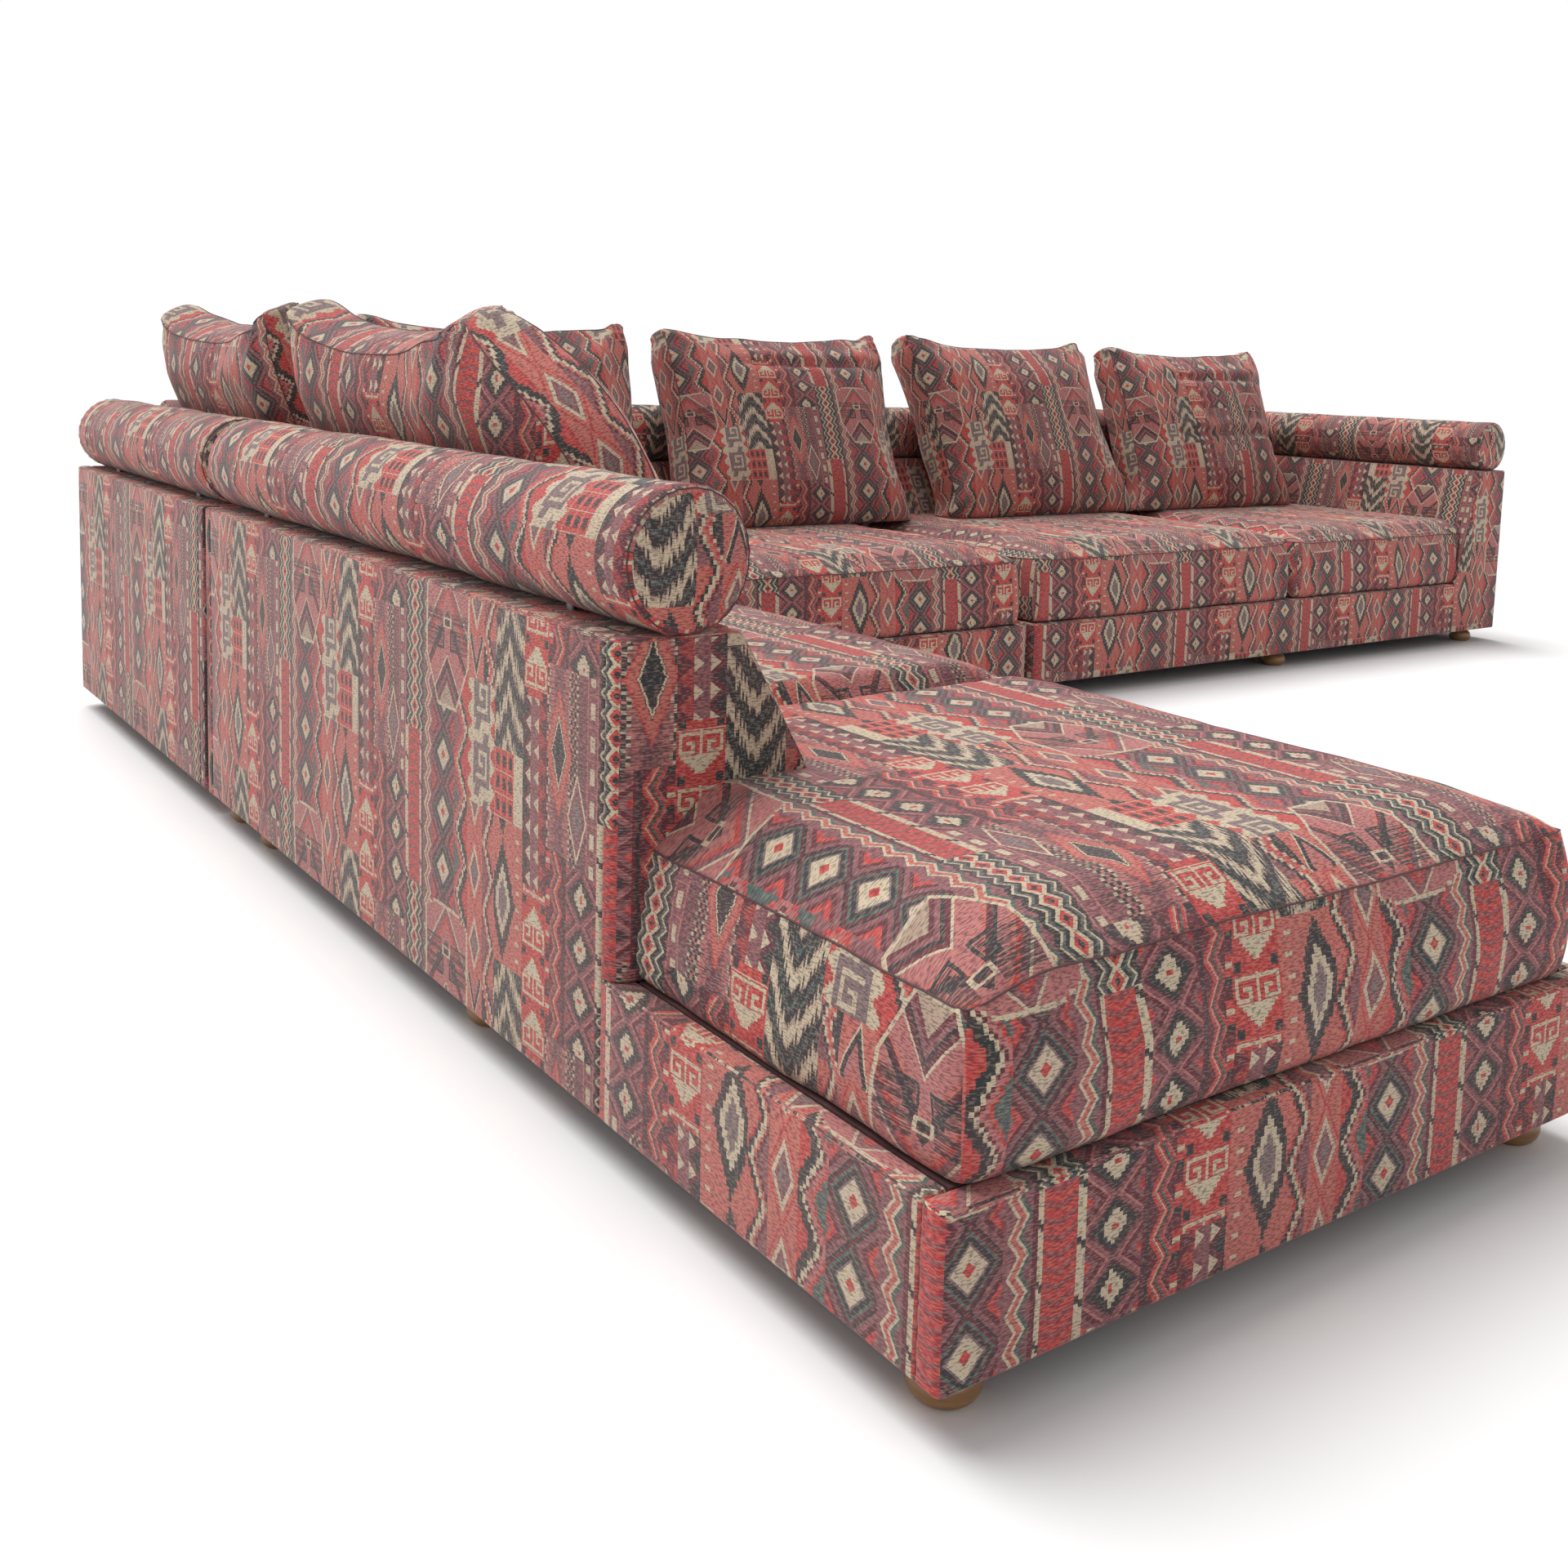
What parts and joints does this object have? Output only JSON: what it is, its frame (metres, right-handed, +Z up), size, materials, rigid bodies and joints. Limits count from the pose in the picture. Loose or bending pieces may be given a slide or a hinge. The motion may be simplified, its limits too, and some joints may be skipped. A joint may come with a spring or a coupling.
{
  "type": "modular corner sofa",
  "caption": "L-shaped modular corner sofa with loose cushions and round bolsters, covered in woven kilim cloth.",
  "frame": {"origin": "on the floor, under the centre of the overall plan", "axes": "+Z up; +X along the long rear run, from the corner to the arm; +Y from the chaise end to the rear back, so a sitter on the rear run faces -Y"},
  "size_m": [4.147, 3.083, 0.9403],
  "materials": {
    "kilim_cloth": "flat-woven patterned cloth over foam",
    "deck_cloth": "plain cloth over a thin foam pad",
    "webbing": "woven elastic strap",
    "dust_cloth": "thin non-woven cloth",
    "frame_timber": "planed softwood, bare",
    "turned_wood": "turned hardwood, clear lacquer",
    "steel_fittings": "zinc-plated steel"
  },
  "bodies": {
    "chaise_module": {"chaise_back_end_panel": "kilim_cloth", "chaise_back_frame": "frame_timber", "chaise_back_wedge": "kilim_cloth", "chaise_base_frame": "frame_timber", "chaise_bolster": "kilim_cloth", "chaise_bolster_dowels": "steel_fittings", "chaise_connector_plates": "steel_fittings", "chaise_dust_cloth": "dust_cloth", "chaise_feet": "turned_wood", "chaise_inner_panel": "kilim_cloth", "chaise_joint_panel": "kilim_cloth", "chaise_low_side_panel": "kilim_cloth", "chaise_near_panel": "kilim_cloth", "chaise_outer_panel": "kilim_cloth", "chaise_seat_deck": "deck_cloth", "chaise_webbing": "webbing"},
    "corner_module": {"corner_back_frames": "frame_timber", "corner_base_frame": "frame_timber", "corner_bolster_dowels": "steel_fittings", "corner_connector_clips": "steel_fittings", "corner_dust_cloth": "dust_cloth", "corner_feet": "turned_wood", "corner_front_panel": "kilim_cloth", "corner_joint_panel": "kilim_cloth", "corner_left_back_wedge": "kilim_cloth", "corner_left_bolster": "kilim_cloth", "corner_left_outer_panel": "kilim_cloth", "corner_rear_back_wedge": "kilim_cloth", "corner_rear_bolster": "kilim_cloth", "corner_rear_outer_panel": "kilim_cloth", "corner_seat_deck": "deck_cloth", "corner_webbing": "webbing"},
    "right_module": {"right_arm_bolster": "kilim_cloth", "right_arm_outer_panel": "kilim_cloth", "right_arm_wedge": "kilim_cloth", "right_back_frames": "frame_timber", "right_base_frame": "frame_timber", "right_bolster_dowels": "steel_fittings", "right_connector_plates": "steel_fittings", "right_dust_cloth": "dust_cloth", "right_feet": "turned_wood", "right_front_panel": "kilim_cloth", "right_joint_panel": "kilim_cloth", "right_rear_back_wedge": "kilim_cloth", "right_rear_bolster": "kilim_cloth", "right_rear_outer_panel": "kilim_cloth", "right_seat_deck": "deck_cloth", "right_webbing": "webbing"},
    "arm_back_cushion": {"arm_back_cushion": "kilim_cloth"},
    "arm_seat_cushion": {"arm_seat_cushion": "kilim_cloth"},
    "centre_back_cushion": {"centre_back_cushion": "kilim_cloth"},
    "centre_seat_cushion": {"centre_seat_cushion": "kilim_cloth"},
    "chaise_back_cushion": {"chaise_back_cushion": "kilim_cloth"},
    "corner_left_back_cushion": {"corner_left_back_cushion": "kilim_cloth"},
    "corner_rear_back_cushion": {"corner_rear_back_cushion": "kilim_cloth"},
    "corner_seat_cushion": {"corner_seat_cushion": "kilim_cloth"},
    "middle_seat_cushion": {"middle_seat_cushion": "kilim_cloth"},
    "near_seat_cushion": {"near_seat_cushion": "kilim_cloth"},
    "right_back_cushion": {"right_back_cushion": "kilim_cloth"},
    "right_seat_cushion": {"right_seat_cushion": "kilim_cloth"}
  },
  "joints": [
    {"name": "chaise_module_pull_away", "type": "slide", "parent": "corner_module", "child": "chaise_module", "axis": [0, -1, 0], "range_m": [0, 0.5]},
    {"name": "right_module_pull_away", "type": "slide", "parent": "corner_module", "child": "right_module", "axis": [1, 0, 0], "range_m": [0, 0.5]},
    {"name": "near_seat_slide_out", "type": "slide", "parent": "chaise_module", "child": "near_seat_cushion", "axis": [0, -1, 0], "range_m": [0, 0.4]},
    {"name": "middle_seat_lift_off", "type": "slide", "parent": "chaise_module", "child": "middle_seat_cushion", "axis": [0, 0, 1], "range_m": [0, 0.25]},
    {"name": "corner_seat_lift_off", "type": "slide", "parent": "corner_module", "child": "corner_seat_cushion", "axis": [0, 0, 1], "range_m": [0, 0.25]},
    {"name": "centre_seat_slide_out", "type": "slide", "parent": "corner_module", "child": "centre_seat_cushion", "axis": [0, -1, 0], "range_m": [0, 0.4]},
    {"name": "right_seat_slide_out", "type": "slide", "parent": "right_module", "child": "right_seat_cushion", "axis": [0, -1, 0], "range_m": [0, 0.4]},
    {"name": "arm_seat_slide_out", "type": "slide", "parent": "right_module", "child": "arm_seat_cushion", "axis": [0, -1, 0], "range_m": [0, 0.4]},
    {"name": "chaise_back_cushion_lift_off", "type": "slide", "parent": "middle_seat_cushion", "child": "chaise_back_cushion", "axis": [-0.3746, 0, 0.9272], "range_m": [0, 0.3]},
    {"name": "corner_left_back_cushion_lift_off", "type": "slide", "parent": "corner_seat_cushion", "child": "corner_left_back_cushion", "axis": [-0.3746, 0, 0.9272], "range_m": [0, 0.3]},
    {"name": "corner_rear_back_cushion_lift_off", "type": "slide", "parent": "corner_seat_cushion", "child": "corner_rear_back_cushion", "axis": [0, 0.3746, 0.9272], "range_m": [0, 0.3]},
    {"name": "centre_back_cushion_lift_off", "type": "slide", "parent": "corner_module", "child": "centre_back_cushion", "axis": [0, 0.3746, 0.9272], "range_m": [0, 0.3]},
    {"name": "right_back_cushion_lift_off", "type": "slide", "parent": "right_module", "child": "right_back_cushion", "axis": [0, 0.3746, 0.9272], "range_m": [0, 0.3]},
    {"name": "arm_back_cushion_lift_off", "type": "slide", "parent": "right_module", "child": "arm_back_cushion", "axis": [0, 0.3746, 0.9272], "range_m": [0, 0.3]}
  ]
}
